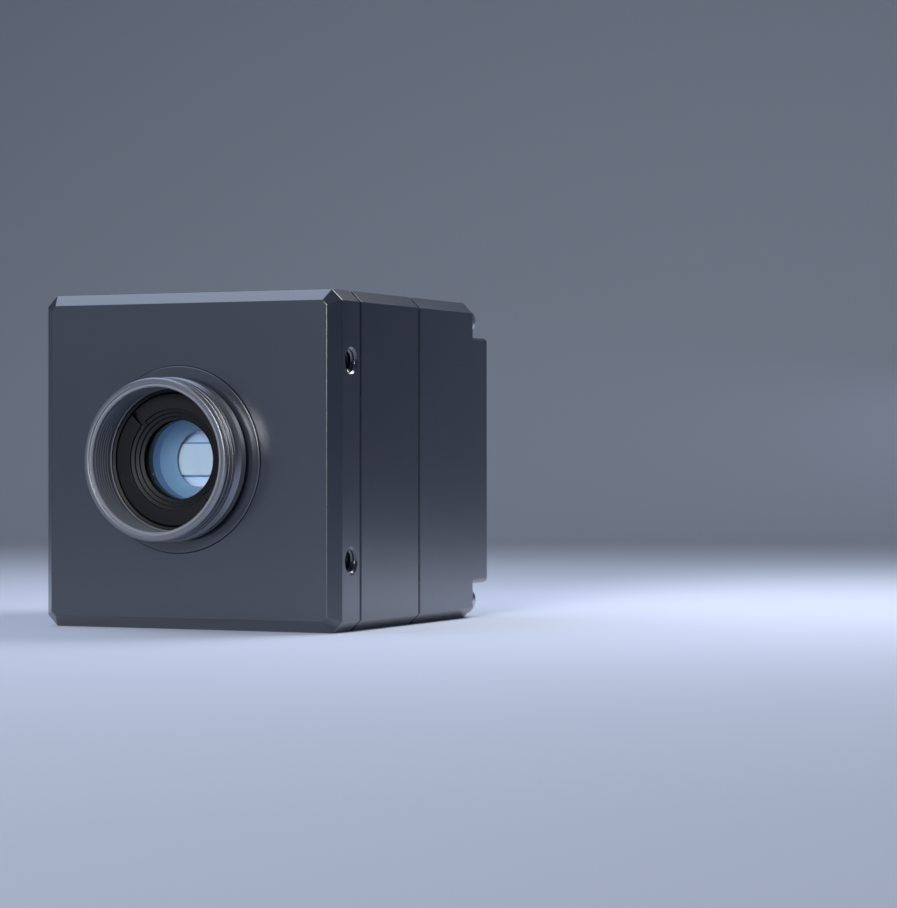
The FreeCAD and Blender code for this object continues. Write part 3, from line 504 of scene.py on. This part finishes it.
# retaining ring: three steps down to the filter, and two slots for a spanner
ringLook = {
    "profile": [(11.65, -1.4), (11.9, -1.15), (11.9, 0.4), (7.05, 0.4), (7.05, 0.1), (7.71, 0.1),
                (7.71, -0.4), (8.37, -0.4), (8.37, -0.9), (9.03, -0.9), (9.03, -1.4), (11.65, -1.4)],
    "edge": 0.05, "sharp": 40, "slot": (8.37, 11.55), "slotWide": 0.9, "slotDeep": 0.9,
    "slotAngles": (135, -45)}
retainingRing = turnPiece("retainingRing", ringLook["profile"], lensAxis, frontFace)
for angle in ringLook["slotAngles"]:
    freshStart()
    bpy.ops.mesh.primitive_cube_add(size=1)
    cutter = bpy.context.object
    inner, outer = ringLook["slot"]
    front = ringLook["profile"][0][1]
    cutter.scale = ((outer - inner) * mm, 2 * ringLook["slotDeep"] * mm, ringLook["slotWide"] * mm)
    cutter.location = ((inner + outer) / 2 * mm, (frontFace + front) * mm, 0)
    bpy.ops.object.transform_apply(location=True, rotation=True, scale=True)
    cutter.rotation_euler = (0, math.radians(-angle), 0)
    cutter.location = (lensAxis[0] * mm, 0, lensAxis[1] * mm)
    cutAway(retainingRing, cutter)
breakEdges(retainingRing, ringLook["edge"], angle=ringLook["sharp"])
smooth(retainingRing, ringLook["sharp"])
dress(retainingRing, innerBlack, "inner_black", "retaining_ring")
print("retaining ring turned:", len(retainingRing.data.polygons), "faces")

# light baffle: a darkened mouth and a pale cone down to the sensor
baffleLook = {"sharp": 30,
              "mouth": [(10.95, 3.4), (10.95, 5.8), (7.05, 5.8), (7.05, 3.4), (10.95, 3.4)],
              "cone": [(10.95, 5.8), (10.95, 8.99), (5.3, 8.99), (7.05, 5.8), (10.95, 5.8)]}
baffleMouth = turnPiece("baffleMouth", baffleLook["mouth"], lensAxis, frontFace)
smooth(baffleMouth, baffleLook["sharp"])
dress(baffleMouth, dullMetal, "baffle_metal", "light_baffle")
baffleCone = turnPiece("baffleCone", baffleLook["cone"], lensAxis, frontFace)
smooth(baffleCone, baffleLook["sharp"])
dress(baffleCone, baffleMetal, "baffle_metal", "light_baffle")
print("baffle turned")

# painted shade round the detector: a thin blue-grey frame at its foot for the shadow in the gap at its edge,
# seen as a thin line above and below it
edgeShadeLook = {"wide": 0.32, "high": 0.4, "edge": 0.08}
dieLow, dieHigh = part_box("sensor_die")
freshStart()
bpy.ops.mesh.primitive_plane_add(size=1, rotation=(math.radians(90), 0, 0))
edgeShade = bpy.context.object
edgeShade.name = "detectorEdgeShade"
margin = 2 * edgeShadeLook["wide"] * mm
edgeShade.scale = (dieHigh.x - dieLow.x + margin, dieHigh.z - dieLow.z + margin, 1)
edgeShade.location = ((dieLow.x + dieHigh.x) / 2, dieHigh.y, (dieLow.z + dieHigh.z) / 2)
bpy.ops.object.transform_apply(location=True, rotation=True, scale=True)
bpy.ops.object.mode_set(mode="EDIT")
bpy.ops.mesh.select_all(action="SELECT")
bpy.ops.mesh.inset(thickness=edgeShadeLook["wide"] * mm)
bpy.ops.mesh.delete(type="FACE")
bpy.ops.object.mode_set(mode="OBJECT")
applyModifier(edgeShade, "SOLIDIFY", thickness=edgeShadeLook["high"] * mm, offset=1)
breakEdges(edgeShade, edgeShadeLook["edge"])
smooth(edgeShade)
dress(edgeShade, dieEdgeShade, "detector")
print("bond line laid")

# corner screw: cap head with a knurled side and a hexagon socket, made once and copied to the corners
screwLook = {
    "headR": 2.75, "headHeight": 3.0, "seat": 28.55, "chamfer": 0.3, "keyAcross": 2.5, "keyDepth": 1.6,
    "drillPoint": 0.75, "drillOverlap": 0.01, "knurls": 40, "knurlDepth": 0.07, "shankR": 1.5,
    "tip": -24.45, "tipChamfer": 0.3, "corner": 26.7, "middle": 30.0, "edge": 0.06, "sharp": 35, "shade": 30}


def makeScrew(name):
    look = screwLook
    freshStart()
    bpy.ops.mesh.primitive_cylinder_add(
        vertices=2 * look["knurls"], radius=look["headR"] * mm, depth=look["headHeight"] * mm,
        rotation=(math.radians(90), 0, 0), location=(0, (look["seat"] + look["headHeight"] / 2) * mm, 0))
    screw = bpy.context.object
    screw.name = name
    bpy.ops.object.transform_apply(location=True, rotation=True, scale=True)
    top = (look["seat"] + look["headHeight"]) * mm
    # the end face is drawn in to the chamfer before the knurls are pressed into the side
    bpy.ops.object.mode_set(mode="EDIT")
    bpy.ops.mesh.select_mode(type="FACE")
    bpy.ops.mesh.select_all(action="DESELECT")
    bpy.ops.object.mode_set(mode="OBJECT")
    for face in screw.data.polygons:
        face.select = face.normal.y > 0.9
    bpy.ops.object.mode_set(mode="EDIT")
    bpy.ops.transform.translate(value=(0, -look["chamfer"] * mm, 0))
    bpy.ops.mesh.extrude_region_move(TRANSFORM_OT_translate={"value": (0, look["chamfer"] * mm, 0)})
    share = 1 - look["chamfer"] / look["headR"]
    bpy.ops.transform.resize(value=(share, 1, share), center_override=(0, top, 0))
    bpy.ops.mesh.select_all(action="DESELECT")
    bpy.ops.mesh.select_mode(type="VERT")
    bpy.ops.object.mode_set(mode="OBJECT")
    step = math.pi / look["knurls"]
    for vertex in screw.data.vertices:
        angle = math.atan2(vertex.co.z, vertex.co.x)
        onSide = math.hypot(vertex.co.x, vertex.co.z) > look["headR"] * 0.99 * mm
        vertex.select = onSide and round(angle / step - 0.5) % 2 == 0
    bpy.ops.object.mode_set(mode="EDIT")
    share = 1 - look["knurlDepth"] / look["headR"]
    bpy.ops.transform.resize(value=(share, 1, share), center_override=(0, 0, 0))
    bpy.ops.object.mode_set(mode="OBJECT")
    # hexagon key
    freshStart()
    bpy.ops.mesh.primitive_cylinder_add(
        vertices=6, radius=look["keyAcross"] / math.sqrt(3) * mm, depth=2 * look["keyDepth"] * mm,
        rotation=(math.radians(90), 0, 0), location=(0, top, 0))
    key = bpy.context.object
    cutAway(screw, key)
    # the drill's point below the hexagon keeps the socket dark
    freshStart()
    pointMiddle = look["keyDepth"] + look["drillPoint"] / 2 - look["drillOverlap"]
    bpy.ops.mesh.primitive_cone_add(
        vertices=48, radius1=look["keyAcross"] / 2 * mm, depth=look["drillPoint"] * mm,
        rotation=(math.radians(90), 0, 0), location=(0, top - pointMiddle * mm, 0))
    drill = bpy.context.object
    cutAway(screw, drill)
    # shank
    freshStart()
    length = look["seat"] - look["tip"]
    bpy.ops.mesh.primitive_cylinder_add(
        vertices=48, radius=look["shankR"] * mm, depth=length * mm, rotation=(math.radians(90), 0, 0),
        location=(0, (look["tip"] + length / 2) * mm, 0))
    shank = bpy.context.object
    bpy.ops.object.transform_apply(location=True, rotation=True, scale=True)
    breakEdges(shank, look["tipChamfer"], segments=1, angle=60)
    activate(screw)
    shank.select_set(True)
    bpy.ops.object.join()
    breakEdges(screw, look["edge"], angle=look["sharp"])
    smooth(screw, look["shade"])
    return screw


firstScrew = makeScrew("cornerScrew")
screws = []
for number, (sideX, sideZ) in enumerate(((-1, -1), (-1, 1), (1, -1), (1, 1))):
    screw = firstScrew.copy()
    screw.data = firstScrew.data.copy()
    screw.name = "cornerScrew.%d" % number
    bpy.context.scene.collection.objects.link(screw)
    reach = screwLook["corner"]
    screw.location = Vector((sideX * reach, 0, screwLook["middle"] + sideZ * reach)) * mm
    activate(screw)
    bpy.ops.object.transform_apply(location=True, rotation=True, scale=True)
    dress(screw, screwSteel, "screw_steel", "corner_screws")
    screws.append(screw)
bpy.data.objects.remove(firstScrew)
print("corner screws made:", len(screws))

# network socket: rounded collar on the rear face, threaded bore, keyed core with a cross-shaped shield
networkLook = {
    "axis": (-15.8, 18.1),
    "profile": [(5.2, -12.3), (6.8, -12.3), (6.8, 0.0), (7.45, 0.0), (7.45, 0.55), (7.41, 0.72),
                (7.32, 0.87), (7.18, 0.96), (7.0, 1.0), (6.45, 1.0), (5.95, 0.5), (5.95, -8.0),
                (5.2, -8.0), (5.2, -12.3)],
    "edge": 0.05, "insertEdge": 0.05, "shieldEdge": 0.04, "steps": 120}
networkThread = {"rootR": 5.97, "crestR": 5.6, "pitch": 1.0, "foot": 0.8, "crest": 0.12, "turns": 5,
                 "steps": 80, "start": -5.2, "angle": 25}
networkShell = turnPiece("networkSocketShell", networkLook["profile"], networkLook["axis"], rearFace,
                         networkLook["steps"])
breakEdges(networkShell, networkLook["edge"])
smooth(networkShell)
dress(networkShell, socketMetal, "socket_metal", "network_socket_shell")
networkX, networkZ = networkLook["axis"]
ridge = threadRidge("networkSocketThread", networkThread,
                    (networkX, rearFace + networkThread["start"], networkZ))
smooth(ridge, networkThread["angle"])
dress(ridge, socketMetal, "socket_metal")
networkInsert = softCopy("network_socket_insert", "networkSocketInsert", networkLook["insertEdge"])
dress(networkInsert, insertPlastic, "insert_plastic", "network_socket_insert")
networkShield = softCopy("network_socket_shield", "networkSocketShield", networkLook["shieldEdge"])
dress(networkShield, shieldMetal, "shield_metal", "network_socket_shield")

# power and trigger socket: a smaller collar of the same kind, with a round core
ioLook = {
    "axis": (7.4, 13.25),
    "profile": [(3.1, -10.0), (4.8, -10.0), (4.8, 0.0), (5.4, 0.0), (5.4, 0.4), (5.37, 0.55),
                (5.28, 0.68), (5.15, 0.77), (5.0, 0.8), (4.35, 0.8), (3.65, 0.1), (3.65, -6.2),
                (3.1, -6.2), (3.1, -10.0)],
    "edge": 0.05, "insertEdge": 0.05, "steps": 96}
ioThread = {"rootR": 3.67, "crestR": 3.4, "pitch": 1.0, "foot": 0.8, "crest": 0.12, "turns": 4, "steps": 64,
            "start": -4.6, "angle": 25}
ioShell = turnPiece("ioSocketShell", ioLook["profile"], ioLook["axis"], rearFace, ioLook["steps"])
breakEdges(ioShell, ioLook["edge"])
smooth(ioShell)
dress(ioShell, socketMetal, "socket_metal", "io_socket_shell")
ioX, ioZ = ioLook["axis"]
ridge = threadRidge("ioSocketThread", ioThread, (ioX, rearFace + ioThread["start"], ioZ))
smooth(ridge, ioThread["angle"])
dress(ridge, socketMetal, "socket_metal")
ioInsert = softCopy("io_socket_insert", "ioSocketInsert", ioLook["insertEdge"])
dress(ioInsert, insertPlastic, "insert_plastic", "io_socket_insert")
print("sockets made")

# light pipe: domed rod behind the rear face, with the flange that holds it
pipeLook = {
    "axis": (14.7, 27.5), "steps": 72,
    "profile": [(0.0, -13.1), (1.78, -13.1), (1.78, -4.2), (3.2, -4.2), (3.2, -3.0), (1.78, -3.0),
                (1.78, -0.35), (1.76, -0.25), (1.68, -0.16), (1.55, -0.11), (0.8, -0.1), (0.0, -0.1)]}
lightPipe = turnPiece("lightPipe", pipeLook["profile"], pipeLook["axis"], rearFace, pipeLook["steps"])
smooth(lightPipe)
dress(lightPipe, lightPlastic, "light_plastic", "light_pipe")
print("light pipe made")

# nodes that keep their solid's mesh
nodeFinish = {
    "mount_seal": sealRubber, "mount_lock_ring": innerBlack, "filter_window": filterGlass,
    "sensor_package": platedCeramic, "sensor_window": clearGlass, "sensor_die": detector,
    "sensor_socket": connectorPlastic, "sensor_board": boardMask, "cold_block": copper,
    "cooler_cold_plate": ceramic, "cooler_pellets": telluride, "cooler_hot_plate": ceramic,
    "heat_spreader": plainAluminium, "processor_pad": thermalPad,
    "processor_chip": chipPlastic, "processor_board": boardMask, "memory_chips": chipPlastic,
    "power_board": boardMask, "power_inductors": chipPlastic, "power_capacitors": capacitorCan,
    "interface_board": boardMask, "network_transformer": chipPlastic, "status_led": ceramic,
    "sensor_link": connectorPlastic, "power_link": connectorPlastic, "interface_link": connectorPlastic,
    "front_spacers": spacerBrass, "middle_spacers": spacerBrass, "rear_spacers": spacerBrass,
    "stack_screws": screwSteel, "front_gasket": sealRubber, "rear_gasket": sealRubber,
    "network_socket_contacts": contactGold, "network_socket_nut": spacerBrass,
    "network_socket_seal": sealRubber, "io_socket_contacts": contactGold, "io_socket_nut": spacerBrass,
    "io_socket_seal": sealRubber}
for nodeName, material in nodeFinish.items():
    mesh = nodes[nodeName].data
    mesh.materials.clear()
    mesh.materials.append(material)
print("nodes dressed:", len(nodeFinish))

# floor that runs up into a backdrop, pale and plain
stageLook = {"colour": "#CAD1DF", "reach": 1.6, "rise": 1.8, "bend": 1.1, "bendSteps": 24, "turn": 24.785,
             "rough": 0.9}
freshStart()
bpy.ops.mesh.primitive_plane_add(size=2 * stageLook["reach"], location=(0, 0, 0))
stage = bpy.context.object
stage.name = "floor"
# the far edge is drawn up to a wall and its corner rounded
bpy.ops.object.mode_set(mode="EDIT")
bpy.ops.mesh.select_mode(type="EDGE")
bpy.ops.mesh.select_all(action="DESELECT")
bpy.ops.object.mode_set(mode="OBJECT")
for edge in stage.data.edges:
    edge.select = all(stage.data.vertices[i].co.y > 0 for i in edge.vertices)
bpy.ops.object.mode_set(mode="EDIT")
bpy.ops.mesh.extrude_region_move(TRANSFORM_OT_translate={"value": (0, 0, stageLook["rise"])})
bpy.ops.object.mode_set(mode="OBJECT")
applyModifier(stage, "BEVEL", width=stageLook["bend"], segments=stageLook["bendSteps"], limit_method="ANGLE")
smooth(stage)
stage.rotation_euler = (0, 0, math.radians(stageLook["turn"]))
activate(stage)
bpy.ops.object.transform_apply(location=True, rotation=True, scale=True)
# pale studio paper: matt, so that no lamp mirrors in it
floorMaterial, tree = newMaterial("palePaper")
shader = addNode(tree, "ShaderNodeBsdfPrincipled", {
    "Base Color": srgb(stageLook["colour"]), "Roughness": stageLook["rough"], "Specular IOR Level": 0.0})
addNode(tree, "ShaderNodeOutputMaterial", {"Surface": shader.outputs["BSDF"]})
stage.data.materials.append(floorMaterial)

# soft boxes, in metres and watts
lampLook = {
    # light on the top chamfer and on the floor
    "overhead": {"place": (-0.16, -0.05, 0.42), "aim": (0, -0.05, 0), "size": (0.5, 0.4), "power": 0.39,
                 "spread": 100, "colour": "#D0DEFB"},
    # sheen over the front face
    "frontLeft": {"place": (-0.7, -1.25, 0.16), "aim": (0, 0, 0.03), "size": (1.3, 0.6), "power": 0.58,
                  "spread": 180, "colour": "#C8D8F8"},
    # narrow light that reaches the sensor through the lens opening
    "front": {"place": (0.16, -1.28, 0.35), "aim": (0, 0, 0.03), "size": (0.5, 0.3), "power": 1.75,
              "spread": 54, "colour": "#FFFFFF"},
    # tone on the rear face
    "rearPanel": {"place": (0.05, 0.9, 0.15), "aim": (0, 0, 0.03), "size": (0.3, 0.3), "power": 0.16,
                  "spread": 180, "colour": "#D4E0FA"},
    # bright floor at the right, which the lower part of the side mirrors
    "rear": {"place": (0.1, 0.12, 0.22), "aim": (0.075, 0.075, 0.0), "size": (0.12, 0.12), "power": 0.47,
             "spread": 180, "colour": "#F4F6FF"}}
for name, lamp in lampLook.items():
    freshStart()
    bpy.ops.object.light_add(type="AREA", location=lamp["place"])
    light = bpy.context.object
    light.name = name
    light.data.shape = "RECTANGLE"
    light.data.size, light.data.size_y = lamp["size"]
    light.data.energy = lamp["power"]
    light.data.spread = math.radians(lamp["spread"])
    light.data.color = srgb(lamp["colour"])[:3]
    toward = Vector(lamp["aim"]) - Vector(lamp["place"])
    light.rotation_euler = toward.to_track_quat("-Z", "Y").to_euler()

# the sky is brightest over the left shoulder and falls off to the right and the rear
skyLook = {"toward": (-0.55, -0.5, 0.67), "dark": "#3A4A68", "light": "#CAD6EC", "strength": 0.2,
           "from": -0.6, "to": 0.8}
world = bpy.data.worlds.new("studio")
bpy.context.scene.world = world
world.use_nodes = True
tree = world.node_tree
tree.nodes.clear()
way = addNode(tree, "ShaderNodeTexCoord").outputs["Generated"]
facing = addNode(tree, "ShaderNodeVectorMath", {0: way, 1: skyLook["toward"]}, operation="DOT_PRODUCT")
share = addNode(tree, "ShaderNodeMapRange", {
    "Value": facing.outputs["Value"], "From Min": skyLook["from"], "From Max": skyLook["to"]})
tone = addNode(tree, "ShaderNodeMixRGB", {
    "Fac": share.outputs[0], "Color1": srgb(skyLook["dark"]), "Color2": srgb(skyLook["light"])})
sky = addNode(tree, "ShaderNodeBackground", {
    "Color": tone.outputs["Color"], "Strength": skyLook["strength"]})
addNode(tree, "ShaderNodeOutputWorld", {"Surface": sky.outputs["Background"]})
bpy.context.scene.view_settings.view_transform = "Standard"
print("stage and lamps set")

# camera: level, at the photograph's angle
viewLook = {"place": (0.26503, -0.49142, 0.031235), "turn": 24.785, "focalPixels": 2996.3, "longSide": 908,
            "sensor": 36.0, "near": 0.01}
freshStart()
bpy.ops.object.camera_add(location=viewLook["place"],
                          rotation=(math.radians(90), 0, math.radians(viewLook["turn"])))
camera = bpy.context.object
camera.data.sensor_width = viewLook["sensor"]
camera.data.lens = viewLook["focalPixels"] * viewLook["sensor"] / viewLook["longSide"]
camera.data.clip_start = viewLook["near"]
bpy.context.scene.camera = camera
print("camera set")
